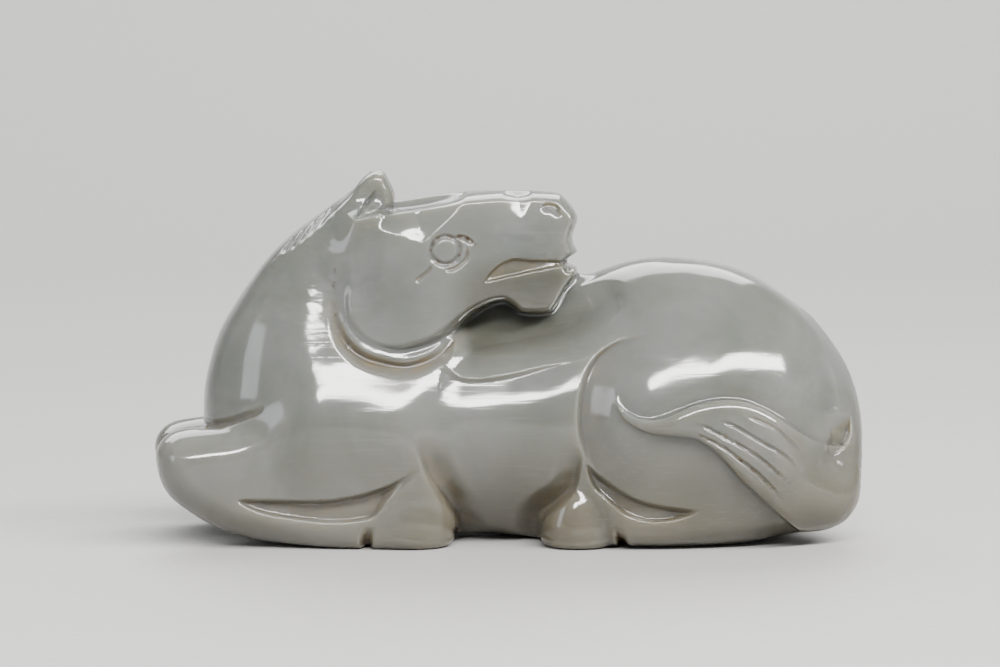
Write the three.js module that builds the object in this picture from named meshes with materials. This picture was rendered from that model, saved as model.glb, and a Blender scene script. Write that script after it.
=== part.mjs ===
// A horse carved from one pale stone. It lies on its folded legs and turns its head back over its
// left shoulder, and its tail sweeps forward over the left haunch.
//
// Millimetres. X runs along the back, from the chest (-) to the rump (+). Y runs across, and the
// head is turned towards -Y. Z is up, and the hooves and shins stand on Z = 0.
//
// The stone is one field of signed distance: rounded forms joined by soft blends, then carved
// hollows, then the floor cut. The surface where the field is zero is turned into flat faces.
import * as THREE from 'three';

// Driving dimensions
const rump = { at: [16.8, 0, 10.5], radii: [17.3, 12.7, 17.1], tilt: -6 };
const barrel = { at: [-2, 0, 11.8], radii: [20, 11.2, 11.8] };
const chest = { at: [-17.5, 0, 12], radii: [12.4, 10.8, 13] };
const haunch = { middle: 5.6, half: 7.5, rim: 9, footHalf: 6.4, footRim: 2.6, foot: [1, 7] };
const foreleg = { middle: 7.3, half: 4.3, rim: 3.2, farKneeAhead: 1.4, farKneeLower: 0.7 };
const head = {
  cheekHalf: 6.8, muzzleHalf: 3.9, narrows: [-11, 4], browTaper: 1.2, brow: [29, 33.2],
  temple: 1.3, templeEnds: [-8, -1], nape: 1.2, napeBack: [-11, -16], napeUp: [21, 26],
  jawRim: 1.8, browRim: 3.4, jawUp: [24, 31], muzzleRim: 2.2, sharpens: [-8, 3],
  muzzleAcross: -3.6, pollAcross: -2.9, bends: [-4, -14], carvedFrom: [0.5, 2],
};
const ear = { apart: 2.3, half: 1.5, rim: 0.8 };
const plume = {
  height: 1.1, tipHeight: 0.25, rim: 0.9, rimShare: 0.55, grows: [9.8, 16], sinks: [24.5, 30.5],
  side: [-3, -7],
};
const blends = {
  body: 5, neck: 4, haunch: 1.5, foreleg: 1.2, chestside: 3, tail: 2.4, plume: 0.3, hoof: 0.8, jaw: 0.4,
  poll: 3, ear: 0.8, outline: 2.5, floor: 0.9,
};
const carvedSide = [3, 6];
const chestside = [-24, -17];
const poll = { up: [23, 28], back: [-9, -14] };
const rightJaw = { across: [-4, -1], down: [27, 24] };
const room = { low: [-36, -15, -0.7], size: [71.5, 30, 37.2] };
const facets = {
  step: 0.5, triangles: 9400, floorSnap: 0.05, settleReach: 0.06, cornerShare: 0.12, detail: 5,
};

// Limbs: rows of x, y, z and radius along the middle of each
const neckPath = [
  [-17.5, 0, 12.5, 11], [-18, -0.3, 19, 9.4], [-16.6, -1, 25, 7.2], [-13.6, -1.8, 29.6, 4.6],
];
const tailPath = [
  [27.6, 0, 19.2, 1.3], [30.1, -0.8, 14, 2.6], [30.75, -3, 9.4, 2.7], [30, -6, 5, 3.3],
  [28, -8.4, 5.4, 3], [26.4, -9, 7.3, 2.6],
];
const foreHoofPath = [
  [-7.5, 9, 7.6, 0.7], [-7.8, 8.9, 5.1, 1.8], [-8.6, 8.4, 3.2, 3.3], [-8.95, 8.1, 1.8, 4.1],
];
const hindHoofPath = [
  [7.3, 9.4, 7.8, 0.6], [6.9, 9.3, 4.9, 1.35], [6.65, 9, 3.4, 2.6], [6.7, 8.4, 1.5, 3.6],
];

// Outlines as seen from the left side: x, z
const outlines = {
  body: [
    [-29.4, 11], [-28.4, 18.4], [-26, 22.8], [-22, 27.8], [-17.6, 31.2], [-14.2, 32.8], [-11.5, 32.4],
    [-8.5, 29.5], [-6, 25.8], [-2.5, 23.8], [1.5, 23.4], [4.5, 24.6], [8.9, 26.5], [13.7, 27.2],
    [19.2, 26.75], [23.8, 25.2], [28.2, 22.1], [31.4, 18.1], [33.2, 13.8], [33.9, 10.5], [33.8, 6.5],
    [32.2, 3.4], [28, 1], [20, -0.6], [8, -2], [-8, -2], [-20, -1], [-27, 3.5],
  ],
  head: [
    [-14.2, 31.6], [-9.3, 32.5], [-2.6, 33.3], [4.1, 33.2], [5.4, 32.7], [6.65, 31], [6.25, 29.2],
    [6.3, 28.3], [6.7, 27.4], [5.8, 26.6], [6.65, 26], [6.5, 25.2], [5.6, 24.1], [4.5, 22.2], [3.6, 21.7],
    [1.3, 21.7], [0.3, 22.4], [-0.7, 22.7], [-2.8, 21.7], [-5.9, 19.1], [-7.8, 18.2], [-10.1, 17.6],
    [-12.2, 17.8], [-14.1, 18.7], [-15.5, 20.3], [-16.2, 22.2], [-16.3, 24.4], [-15.4, 29.6],
  ],
  foreleg: [
    [-9, 13.5], [-14, 14.5], [-19.5, 14.2], [-23.5, 12.6], [-26, 11.6], [-30.6, 11], [-32.2, 10.35],
    [-33.1, 9.1], [-33.1, 7.6], [-32.5, 5.6], [-30.9, 3.8], [-26.6, 1.3], [-20, -0.4], [-15, -1.4],
    [-9, -1.4], [-6, 3], [-6.5, 9],
  ],
  haunch: [
    [14.5, 20.6], [11.5, 19.6], [9, 17.8], [7.4, 15.4], [6.6, 12.2], [6.7, 9], [6.9, 6], [7.2, 3.6],
    [8.2, 1.2], [10, -0.6], [15, -0.6], [18.5, 0.1], [22, 0.9], [24.8, 2.1], [27.2, 4.2], [30.2, 10],
    [29.4, 15], [26, 19.6], [20.5, 21.8],
  ],
  plume: [
    [10.1, 14.6], [10.6, 13.55], [11.4, 12.9], [12.9, 12.5], [14.6, 12.75], [16.1, 13.4], [17.9, 14.05],
    [20.2, 14.35], [22.4, 14.05], [24.8, 12.9], [27.1, 11.3], [29.4, 9.9], [31.5, 9.4], [36, 9.4],
    [36, 5.5], [33.2, 3.2], [30.9, 1.8], [29.2, 1.4], [27.8, 1.5], [26.7, 2.2], [22.4, 6.3], [19.5, 9.4],
    [18.4, 10.2], [17.1, 10.8], [14.4, 11.1], [12.5, 11.5], [11.1, 12.3], [10.4, 13.2],
  ],
  ear: [
    [-15.8, 31.2], [-14.4, 33.6], [-13.7, 34.5], [-13.05, 35.05], [-12.4, 35.2], [-11.8, 35],
    [-11.4, 34.4], [-10.7, 32.6], [-11.5, 31], [-13.5, 30.4],
  ],
};

// Cut lines: the path, how deep, how far the cut reaches to the left and to the right of its
// direction, and over what share of its length it fades in and out
const bothSides = [
  { name: 'front of the haunch', depth: 1, left: 3, right: 0.8, fade: [0.25, 0.25],
    path: [[14.4, 19.7], [11.6, 19.6], [9.3, 18.5], [7.8, 16.7], [7.1, 14.2], [7, 11.7], [7.6, 9.3],
      [9.2, 6.6]] },
  { name: 'belly behind the fore hoof', depth: 0.9, left: 2.6, right: 0.7, fade: [0.3, 0],
    path: [[-8.6, 11.5], [-6.9, 6.6], [-4.5, 2.6], [-4.3, 0]] },
  { name: 'belly before the hind hoof', depth: 0.9, left: 0.7, right: 2.4, fade: [0.3, 0],
    path: [[6.7, 10.3], [5.9, 5.7], [2.9, 2.8], [2.6, 0]] },
  { name: 'end of the fore shin', depth: 1.2, left: 0.9, right: 0.8, fade: [0, 0.6],
    path: [[-13, -0.5], [-13.1, 0.8], [-12.8, 2.4]] },
  { name: 'end of the hind shin', depth: 1.1, left: 0.8, right: 0.8, fade: [0, 0.6],
    path: [[11, -0.5], [10.6, 0.8], [10.1, 2.3]] },
];
const leftSide = [
  { name: 'neck behind the jaw', depth: 0.9, left: 0.9, right: 1, fade: [0.35, 0.35],
    path: [[-16.2, 26.2], [-16.3, 23], [-15.7, 20.1], [-14, 18.2], [-11.7, 17.3], [-9.3, 17], [-6.8, 17.8],
      [-5, 19.4], [-3, 21.2]] },
  { name: 'back above the flank', depth: 1.2, left: 6, right: 2.2, fade: [0.25, 0.35],
    path: [[-9.5, 17.1], [-6.5, 17.2], [-3, 17.6], [1, 18.3], [5, 19.6], [9, 21], [12.5, 22]] },
  { name: 'slope at the top of the flank', depth: 0.5, left: 1.5, right: 3, fade: [0.25, 0.15],
    path: [[-14.4, 17.4], [-11.6, 16.6], [-8.5, 16.2], [-5.9, 16.2], [-3.2, 15.7], [1.1, 16.2], [7.2, 17.8],
      [10.5, 19.4]] },
  { name: 'scoop at the tail root', depth: 0.8, left: 2.7, right: 0.6, fade: [0.3, 0.3],
    path: [[29.5, 9.1], [31, 9], [32.2, 10.2], [32.4, 12.5]] },
  { name: 'valley beside the tail root', depth: 0.3, left: 1.6, right: 0.9, fade: [0.1, 0.5],
    path: [[30.7, 12.4], [30.2, 15.5], [29.1, 18.8]] },
  { name: 'top of the forearm', depth: 0.4, left: 0.9, right: 0.6, fade: [0.1, 0.4],
    path: [[-29.5, 11.2], [-27, 11.4], [-24.8, 12.1], [-23.2, 12.9], [-22.8, 13.9]] },
  { name: 'upper edge of the tail', depth: 0.3, left: 1.8, right: 0.5, fade: [0.15, 0.25],
    path: [[13, 12.6], [16.1, 13.5], [17.9, 14.1], [20.2, 14.4], [22.4, 14.1], [24.8, 12.95], [28, 10.7]] },
];
const tailHair = [
  [[17.1, 11.7], [19.9, 10.3], [23.4, 7.3], [25.6, 5]],
  [[18.6, 12.4], [22.4, 10.5], [26.9, 6.8]],
  [[21, 13], [25, 11], [28.2, 8.5]],
];
const hairCut = { depth: 0.3, left: 0.75, right: 0.75, fade: [0.25, 0.25] };

// Hollows between two lines, deepest beside the upper one, with a wall at each of them
const legHollows = [
  { depth: 1.2, wall: 0.6, lowWall: 0.6,
    upper: [[-25.6, 5], [-18.4, 4.85], [-15.2, 5.15], [-12, 6], [-9.9, 7], [-8.2, 8.15], [-7.7, 9.5]],
    lower: [[-25.6, 5], [-24.9, 4.3], [-22.7, 3.4], [-19.5, 2.85], [-16.3, 2.6], [-13.1, 2.9], [-11.5, 3.9],
      [-9.5, 6], [-8.1, 7.3], [-7.7, 9.5]] },
  { depth: 1.1, wall: 0.7, lowWall: 0.5,
    upper: [[6.9, 9.2], [8.6, 7.3], [10.5, 5.9], [12.3, 5.05], [14.2, 4.55], [16.1, 4.25], [18.6, 4]],
    lower: [[6.9, 9.2], [7.8, 6.2], [9, 4.9], [10.9, 3.45], [12.8, 2.8], [14.2, 2.75], [16.1, 3.05],
      [18.6, 4]] },
];
const mouth = { depth: 0.7, wall: 0.35, lowWall: 0.3,
  upper: [[-2.45, 24.8], [-1.65, 25.95], [-0.5, 26.85], [0.65, 27.2], [1.95, 27.1], [5.7, 26.95],
    [7.2, 26.9]],
  lower: [[-2.45, 24.8], [1.95, 25.7], [5.75, 26.3], [7.2, 26.4]] };
const nostril = { depth: 0.5, left: 0.4, right: 0.9, fade: [0.3, 0.3],
  path: [[3, 31.6], [3.7, 32.1], [4.5, 31.9], [5.1, 31]] };
const eye = { at: [-5.6, 28], radii: [1.4, 1.2], ring: 0.4, depth: 0.45 };

// Soft joins and slopes
const mix = (a, b, k) => Math.min(a, b) - Math.max(k - Math.abs(a - b), 0) ** 2 / (4 * k);
const keep = (a, b, k) => -mix(-a, -b, k);
const clamp = (v) => Math.min(Math.max(v, 0), 1);
const { lerp, smoothstep } = THREE.MathUtils;
const ramp = (v, from, to) => smoothstep((v - from) / (to - from), 0, 1);

const smoothly = (rows, closed, count) => (
  new THREE.CatmullRomCurve3(rows, closed, 'catmullrom', 0.5).getPoints(count));

function curve(points, closed = false, each = 6) {
  const rows = points.map(([x, z]) => new THREE.Vector3(x, z, 0));
  return smoothly(rows, closed, (closed ? points.length : points.length - 1) * each);
}

// A limb is a chain of cones with round ends, thinned or thickened across by flat
function limbOf(path, flat = 1, each = 5) {
  const count = (path.length - 1) * each;
  const rows = smoothly(path.map(([x, y, z]) => new THREE.Vector3(x, y, z)), false, count);
  const radii = smoothly(path.map((row) => new THREE.Vector3(row[3], 0, 0)), false, count).map((p) => p.x);
  const links = rows.slice(1).map((end, i) => {
    const d = end.clone().sub(rows[i]);
    return { a: rows[i], d, square: d.lengthSq(), r: radii[i], grow: radii[i + 1] - radii[i] };
  });
  return (x, y, z) => {
    let best = Infinity;
    for (const { a, d, square, r, grow } of links) {
      const t = clamp(((x - a.x) * d.x + (y - a.y) * d.y + (z - a.z) * d.z) / square);
      const ex = x - a.x - t * d.x;
      const ey = (y - a.y - t * d.y) / flat;
      const ez = z - a.z - t * d.z;
      best = Math.min(best, Math.sqrt(ex * ex + ey * ey + ez * ez) - r - t * grow);
    }
    return best;
  };
}

// Distance to an ellipsoid, close enough near its surface
function nearEllipsoid(dx, dy, dz, rx, ry, rz) {
  const [u, v, w] = [dx / rx, dy / ry, dz / rz];
  const k0 = Math.sqrt(u * u + v * v + w * w);
  const k1 = Math.sqrt((u / rx) ** 2 + (v / ry) ** 2 + (w / rz) ** 2);
  return k0 * (k0 - 1) / Math.max(k1, 1e-9);
}

function ellipsoid({ at, radii, tilt = 0 }) {
  const c = Math.cos(THREE.MathUtils.degToRad(tilt));
  const s = Math.sin(THREE.MathUtils.degToRad(tilt));
  return (x, y, z) => {
    const dx = (x - at[0]) * c + (z - at[2]) * s;
    const dz = (z - at[2]) * c - (x - at[0]) * s;
    return nearEllipsoid(dx, y - at[1], dz, ...radii);
  };
}

// A pillow is a slab with the given outline whose rim is rounded off over the width rim
function pillow(edge, across, half, rim) {
  return nearEllipsoid(Math.max(edge + rim, 0), across, 0, rim, half, 1);
}

// Drawings in the side view are worked out once on a fine grid and read back between its points
const sheet = { x0: -38, z0: -3, step: 0.2, columns: 381, rows: 211 };

function drawing(value) {
  const { x0, z0, step, columns, rows } = sheet;
  const grid = new Float64Array(columns * rows);
  for (let i = 0; i < columns; i++) {
    for (let j = 0; j < rows; j++) grid[i * rows + j] = value(x0 + i * step, z0 + j * step);
  }
  return (x, z) => {
    const u = Math.min(Math.max((x - x0) / step, 0), columns - 1.001);
    const v = Math.min(Math.max((z - z0) / step, 0), rows - 1.001);
    const [i, j] = [Math.floor(u), Math.floor(v)];
    const [s, t] = [u - i, v - j];
    const k = i * rows + j;
    const low = grid[k] * (1 - t) + grid[k + 1] * t;
    const high = grid[k + rows] * (1 - t) + grid[k + rows + 1] * t;
    return low * (1 - s) + high * s;
  };
}

// How far a point is from a line, on which side, and how far along
function trace(line, x, z) {
  let [square, side, along] = [Infinity, 0, 0];
  for (let i = 0; i + 1 < line.length; i++) {
    const a = line[i];
    const dx = line[i + 1].x - a.x;
    const dz = line[i + 1].y - a.y;
    const t = clamp(((x - a.x) * dx + (z - a.y) * dz) / (dx * dx + dz * dz));
    const ex = x - a.x - t * dx;
    const ez = z - a.y - t * dz;
    if (ex * ex + ez * ez < square) {
      square = ex * ex + ez * ez;
      side = dx * ez - dz * ex;
      along = (i + t) / (line.length - 1);
    }
  }
  return { away: Math.sqrt(square), side, along };
}

function inside(loop, x, z) {
  let hit = false;
  for (let i = 0; i + 1 < loop.length; i++) {
    const [a, b] = [loop[i], loop[i + 1]];
    if ((a.y > z) !== (b.y > z) && x < (b.x - a.x) * (z - a.y) / (b.y - a.y) + a.x) hit = !hit;
  }
  return hit;
}

function outline(points) {
  const loop = curve(points, true);
  return drawing((x, z) => trace(loop, x, z).away * (inside(loop, x, z) ? -1 : 1));
}

function cut({ path, depth, left, right, fade }) {
  const line = curve(path);
  return (x, z) => {
    const { away, side, along } = trace(line, x, z);
    const reach = clamp(1 - away / (side > 0 ? left : right));
    const start = fade[0] ? ramp(along, 0, fade[0]) : 1;
    const end = fade[1] ? ramp(1 - along, 0, fade[1]) : 1;
    return depth * start * end * ramp(reach, 0, 1);
  };
}

const steepest = 0.75;
const lowestShare = 0.55;

function hollow({ upper, lower, depth, wall, lowWall }) {
  const [top, bottom] = [curve(upper), curve(lower)];
  const loop = [...top, ...bottom.slice().reverse(), top[0]];
  return (x, z) => {
    if (!inside(loop, x, z)) return 0;
    const [up, down] = [trace(top, x, z).away, trace(bottom, x, z).away];
    const floor = Math.min(depth, steepest * (up + down)) * lerp(lowestShare, 1, down / (up + down + 1e-6));
    return floor * ramp(up, 0, wall) * ramp(down, 0, lowWall);
  };
}

const deepest = (cuts) => (x, z) => Math.max(...cuts.map((c) => c(x, z)));
const edges = {};
for (const [name, points] of Object.entries(outlines)) edges[name] = outline(points);
const bothCuts = drawing(deepest([...bothSides.map(cut), ...legHollows.map(hollow)]));
const leftCuts = drawing(deepest(leftSide.map(cut)));
const hairCuts = drawing(deepest(tailHair.map((path) => cut({ path, ...hairCut }))));
const faceCuts = drawing(deepest([hollow(mouth), cut(nostril), (x, z) => {
  const out = Math.hypot((x - eye.at[0]) / eye.radii[0], (z - eye.at[1]) / eye.radii[1]);
  return eye.depth * clamp(1 - Math.abs(out - 1) / eye.ring);
}]));

const forms = {
  rump: ellipsoid(rump),
  barrel: ellipsoid(barrel),
  chest: ellipsoid(chest),
  neck: limbOf(neckPath, 0.9),
  tail: limbOf(tailPath),
  foreHoof: limbOf(foreHoofPath, 0.93),
  hindHoof: limbOf(hindHoofPath, 0.96),
};

function torso(x, y, z) {
  const across = Math.abs(y);
  const back = mix(forms.rump(x, y, z), forms.barrel(x, y, z), blends.body);
  const trunk = mix(back, forms.chest(x, y, z), blends.body);
  const necked = mix(trunk, forms.neck(x, y, z), blends.neck);
  const above = ramp(z, ...haunch.foot);
  const haunchHalf = lerp(haunch.footHalf, haunch.half, above);
  const haunchRim = lerp(haunch.footRim, haunch.rim, above);
  const hind = pillow(edges.haunch(x, z), across - haunch.middle, haunchHalf, haunchRim);
  const trimmed = keep(mix(necked, hind, blends.haunch), edges.body(x, z), blends.outline);
  const far = y > 0 ? 1 : 0;
  const knee = edges.foreleg(x + far * foreleg.farKneeAhead, z + far * foreleg.farKneeLower);
  const fore = pillow(knee, across - foreleg.middle, foreleg.half, foreleg.rim);
  const soft = blends.foreleg + blends.chestside * ramp(x, ...chestside);
  const hooves = Math.min(forms.foreHoof(x, across, z), forms.hindHoof(x, across, z));
  return mix(mix(mix(trimmed, fore, soft), forms.tail(x, y, z), blends.tail), hooves, blends.hoof);
}

// The haired end of the tail lies over the haunch and stands proud of it, round at its edges
function plumeOver(body, x, y, z) {
  const edge = edges.plume(x, z);
  const round = Math.sqrt(1 - (1 - clamp(-edge / plume.rim)) ** 2);
  const crown = plume.rimShare + (1 - plume.rimShare) * round;
  const grown = plume.tipHeight + plume.height * ramp(x, ...plume.grows);
  const rise = grown * (1 - ramp(x, ...plume.sinks)) * ramp(y, ...plume.side);
  return Math.max(body - rise * (crown - hairCuts(x, z)), edge);
}

function headForm(x, y, z) {
  const middle = lerp(head.muzzleAcross, head.pollAcross, ramp(x, ...head.bends));
  const across = Math.abs(y - middle);
  const wide = lerp(head.cheekHalf, head.muzzleHalf, ramp(x, ...head.narrows));
  const taper = (head.browTaper + head.temple * (1 - ramp(x, ...head.templeEnds))) * ramp(z, ...head.brow);
  const half = wide - taper - head.nape * ramp(x, ...head.napeBack) * ramp(z, ...head.napeUp);
  const back = lerp(head.jawRim, head.browRim, ramp(z, ...head.jawUp));
  const rim = lerp(back, head.muzzleRim, ramp(x, ...head.sharpens));
  const carved = faceCuts(x, z) * ramp(across, ...head.carvedFrom);
  const skull = pillow(edges.head(x, z), across, half, rim) + carved;
  return { skull, ears: pillow(edges.ear(x, z), across - ear.apart, ear.half, ear.rim) };
}

function field(x, y, z) {
  const body = torso(x, y, z);
  const near = Math.max(bothCuts(x, z), leftCuts(x, z)) * ramp(-y, ...carvedSide);
  const far = bothCuts(x, z) * ramp(y, ...carvedSide);
  const carved = mix(body + near + far, plumeOver(body, x, y, z), blends.plume);
  const { skull, ears } = headForm(x, y, z);
  const atPoll = ramp(z, ...poll.up) * ramp(x, ...poll.back);
  const atRightJaw = ramp(y, ...rightJaw.across) * ramp(z, ...rightJaw.down);
  const joined = mix(carved, skull, blends.jaw + blends.poll * (atPoll + atRightJaw));
  return keep(mix(joined, ears, blends.ear), -z, blends.floor);
}

// The surface: each cube of the grid is split into six tetrahedra about its long diagonal, which
// always gives a closed skin. Points then slide along the slope of the field onto its zero
function skin(step) {
  const low = new THREE.Vector3(...room.low);
  const [nx, ny, nz] = room.size.map((span) => Math.ceil(span / step) + 1);
  const node = (i, j, k) => (i * ny + j) * nz + k;
  const cell = (n) => [Math.floor(n / (ny * nz)), Math.floor(n / nz) % ny, n % nz];
  const place = (n) => new THREE.Vector3(...cell(n)).multiplyScalar(step).add(low);
  const value = new Float64Array(nx * ny * nz);
  for (let n = 0; n < value.length; n++) value[n] = field(...place(n));
  const points = [];
  const faces = [];
  const known = new Map();
  const between = (a, b) => {
    const key = Math.min(a, b) * value.length + Math.max(a, b);
    if (!known.has(key)) {
      const share = value[a] / (value[a] - value[b]);
      const held = Math.min(Math.max(share, facets.cornerShare), 1 - facets.cornerShare);
      known.set(key, points.push(place(a).lerp(place(b), held)) - 1);
    }
    return known.get(key);
  };
  const [ab, ac, out] = [new THREE.Vector3(), new THREE.Vector3(), new THREE.Vector3()];
  const add = (a, b, c, within, outside) => {
    ab.subVectors(points[b], points[a]);
    ac.subVectors(points[c], points[a]);
    out.subVectors(place(outside), place(within));
    faces.push(ab.cross(ac).dot(out) > 0 ? [a, b, c] : [a, c, b]);
  };
  const axes = [[0, 1, 2], [0, 2, 1], [1, 0, 2], [1, 2, 0], [2, 0, 1], [2, 1, 0]];
  for (let i = 0; i + 1 < nx; i++) {
    for (let j = 0; j + 1 < ny; j++) {
      for (let k = 0; k + 1 < nz; k++) {
        for (const order of axes) {
          const at = [i, j, k];
          const tet = [node(...at)];
          for (const axis of order) {
            at[axis] += 1;
            tet.push(node(...at));
          }
          const within = tet.filter((n) => value[n] < 0);
          const outside = tet.filter((n) => value[n] >= 0);
          const [a, b] = within;
          const [c, d] = outside;
          if (within.length === 1) add(...outside.map((n) => between(a, n)), a, c);
          if (outside.length === 1) add(...within.map((n) => between(n, c)), a, c);
          if (within.length === 2) {
            add(between(a, c), between(a, d), between(b, d), a, c);
            add(between(a, c), between(b, d), between(b, c), b, c);
          }
        }
      }
    }
  }
  return { points, faces };
}

// Fewer faces: edges fold away one by one, the one that changes the shape least first. Each point
// carries the planes of the faces it stands for, a weak pull to its own place, and the floor. Fine
// carving counts for more, so that it keeps more faces
const pull = 0.002;
const floorHold = 200;
const sliver = 0.01;
const leastTurn = 0.3;

function fineness({ x, y, z }) {
  if (y > 0) return 1;
  return 1 + facets.detail * (hairCuts(x, z) > 0 || faceCuts(x, z) > 0);
}

class Queue {
  rows = [];
  push(row) {
    const rows = this.rows;
    let at = rows.push(row) - 1;
    while (at > 0) {
      const up = (at - 1) >> 1;
      if (rows[up].cost <= row.cost) break;
      rows[at] = rows[up];
      at = up;
    }
    rows[at] = row;
  }

  pop() {
    const rows = this.rows;
    const first = rows[0];
    const row = rows.pop();
    if (rows.length === 0) return first;
    let at = 0;
    for (;;) {
      let down = 2 * at + 1;
      if (down >= rows.length) break;
      if (down + 1 < rows.length && rows[down + 1].cost < rows[down].cost) down += 1;
      if (rows[down].cost >= row.cost) break;
      rows[at] = rows[down];
      at = down;
    }
    rows[at] = row;
    return first;
  }
}

// Ten numbers that sum the squared distances to weighted planes
function addPlane(q, n, d, weight) {
  const row = [n.x, n.y, n.z, d];
  let at = 0;
  for (let i = 0; i < 4; i++) {
    for (let j = i; j < 4; j++) q[at++] += weight * row[i] * row[j];
  }
}

function lowest(q) {
  const [xx, xy, xz, xd, yy, yz, yd, zz, zd, dd] = q;
  const m = new THREE.Matrix3(xx, xy, xz, xy, yy, yz, xz, yz, zz);
  const at = new THREE.Vector3(-xd, -yd, -zd).applyMatrix3(m.invert());
  return { at, cost: Math.max(xd * at.x + yd * at.y + zd * at.z + dd, 0) };
}

function simplify(points, faces, target) {
  const quadrics = points.map(() => new Float64Array(10));
  const around = points.map(() => new Set());
  const stamp = new Int32Array(points.length);
  const unit = [new THREE.Vector3(1, 0, 0), new THREE.Vector3(0, 1, 0), new THREE.Vector3(0, 0, 1)];
  const normal = (a, b, c) => b.clone().sub(a).cross(c.clone().sub(a));
  faces.forEach((face, f) => {
    const corners = face.map((v) => points[v]);
    const n = normal(...corners);
    const area = n.length() / 2 * fineness(corners[0]);
    n.normalize();
    for (const v of face) {
      around[v].add(f);
      addPlane(quadrics[v], n, -n.dot(corners[0]), area);
      unit.forEach((u) => addPlane(quadrics[v], u, -u.dot(points[v]), area * pull));
      if (points[v].z === 0) addPlane(quadrics[v], unit[2], 0, area * floorHold);
    }
  });
  const queue = new Queue();
  const offer = (a, b) => {
    const { at, cost } = lowest(quadrics[a].map((v, i) => v + quadrics[b][i]));
    queue.push({ cost, a, b, at, stamps: stamp[a] + stamp[b] });
  };
  const ring = (v) => new Set([...around[v]].flatMap((f) => faces[f]).filter((w) => w !== v));
  points.forEach((_, a) => ring(a).forEach((b) => a < b && offer(a, b)));
  const turnsOver = (v, other, at) => [...around[v]].some((f) => {
    if (faces[f].includes(other)) return false;
    const before = normal(...faces[f].map((w) => points[w]));
    const after = normal(...faces[f].map((w) => (w === v ? at : points[w])));
    if (before.length() < sliver) return false;
    return after.length() < sliver || before.dot(after) < leastTurn * before.length() * after.length();
  });
  let left = faces.length;
  while (left > target && queue.rows.length) {
    const { a, b, at, stamps } = queue.pop();
    if (stamps !== stamp[a] + stamp[b] || !around[a].size || !around[b].size) continue;
    const ringB = ring(b);
    const shared = [...ring(a)].filter((v) => ringB.has(v));
    if (shared.length !== 2 || turnsOver(a, b, at) || turnsOver(b, a, at)) continue;
    for (const f of around[b]) {
      if (faces[f].includes(a)) {
        faces[f].forEach((v) => v !== b && around[v].delete(f));
        left -= 1;
      } else {
        faces[f] = faces[f].map((v) => (v === b ? a : v));
        around[a].add(f);
      }
    }
    around[b] = new Set();
    points[a] = at;
    quadrics[b].forEach((v, i) => { quadrics[a][i] += v; });
    stamp[a] += 1;
    ring(a).forEach((v) => offer(Math.min(a, v), Math.max(a, v)));
  }
  const kept = points.map((_, v) => v).filter((v) => around[v].size);
  const place = new Map(kept.map((v, i) => [v, i]));
  const alive = [...new Set(kept.flatMap((v) => [...around[v]]))];
  return { points: kept.map((v) => points[v]), faces: alive.map((f) => faces[f].map((v) => place.get(v))) };
}

// A point slides a little along the slope of the field onto its zero, and at the floor lies flat
const leastSlope = 0.5;

function settle(p) {
  const h = 0.02;
  for (let turn = 0; turn < 3; turn++) {
    const value = field(p.x, p.y, p.z);
    if (Math.abs(value) < facets.floorSnap) break;
    const slope = new THREE.Vector3(
      field(p.x + h, p.y, p.z) - field(p.x - h, p.y, p.z),
      field(p.x, p.y + h, p.z) - field(p.x, p.y - h, p.z),
      field(p.x, p.y, p.z + h) - field(p.x, p.y, p.z - h)).divideScalar(2 * h);
    const move = slope.multiplyScalar(-value / Math.max(slope.lengthSq(), leastSlope));
    p.add(move.clampLength(0, facets.settleReach));
  }
  if (p.z < facets.floorSnap) p.z = 0;
}

const fine = skin(facets.step);
fine.points.forEach(settle);
const { points, faces } = simplify(fine.points, fine.faces, facets.triangles);
points.forEach((p) => { if (p.z < facets.floorSnap) p.z = 0; });

// The origin is on the floor, under the middle of the stone
const middle = new THREE.Box3().setFromPoints(points).getCenter(new THREE.Vector3()).setZ(0);
points.forEach((p) => p.sub(middle));
const geometry = new THREE.BufferGeometry().setFromPoints(points);
geometry.setIndex(faces.flat());
geometry.computeVertexNormals();
const jade = new THREE.MeshStandardMaterial({ color: 0xb6bcb0, roughness: 0.22, metalness: 0 });
const horse = new THREE.Mesh(geometry, jade);
horse.name = 'horse';

const part = new THREE.Group();
part.add(horse);
export default part;
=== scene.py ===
import math

import bpy
import numpy as np
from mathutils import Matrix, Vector


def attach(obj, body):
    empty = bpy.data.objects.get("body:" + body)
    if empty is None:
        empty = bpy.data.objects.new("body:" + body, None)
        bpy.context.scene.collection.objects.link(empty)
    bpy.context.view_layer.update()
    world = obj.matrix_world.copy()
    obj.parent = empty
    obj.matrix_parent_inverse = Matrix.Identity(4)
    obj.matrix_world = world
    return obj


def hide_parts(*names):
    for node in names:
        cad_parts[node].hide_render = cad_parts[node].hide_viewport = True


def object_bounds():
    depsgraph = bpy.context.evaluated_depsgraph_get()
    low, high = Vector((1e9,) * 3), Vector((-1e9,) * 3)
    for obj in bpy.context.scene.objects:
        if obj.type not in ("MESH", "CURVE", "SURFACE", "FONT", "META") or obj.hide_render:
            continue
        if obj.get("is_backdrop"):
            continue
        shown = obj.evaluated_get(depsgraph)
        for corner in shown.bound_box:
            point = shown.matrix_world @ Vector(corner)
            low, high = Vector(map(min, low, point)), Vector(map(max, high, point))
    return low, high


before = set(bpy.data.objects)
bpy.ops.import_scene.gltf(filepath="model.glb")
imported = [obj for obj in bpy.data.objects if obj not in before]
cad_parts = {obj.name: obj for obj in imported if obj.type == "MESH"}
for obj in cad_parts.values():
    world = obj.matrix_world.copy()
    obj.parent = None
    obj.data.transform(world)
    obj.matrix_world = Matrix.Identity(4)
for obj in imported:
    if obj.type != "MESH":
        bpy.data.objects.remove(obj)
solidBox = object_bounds()
mm = 0.001
print("frame loaded:", ", ".join(sorted(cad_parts)))

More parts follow.
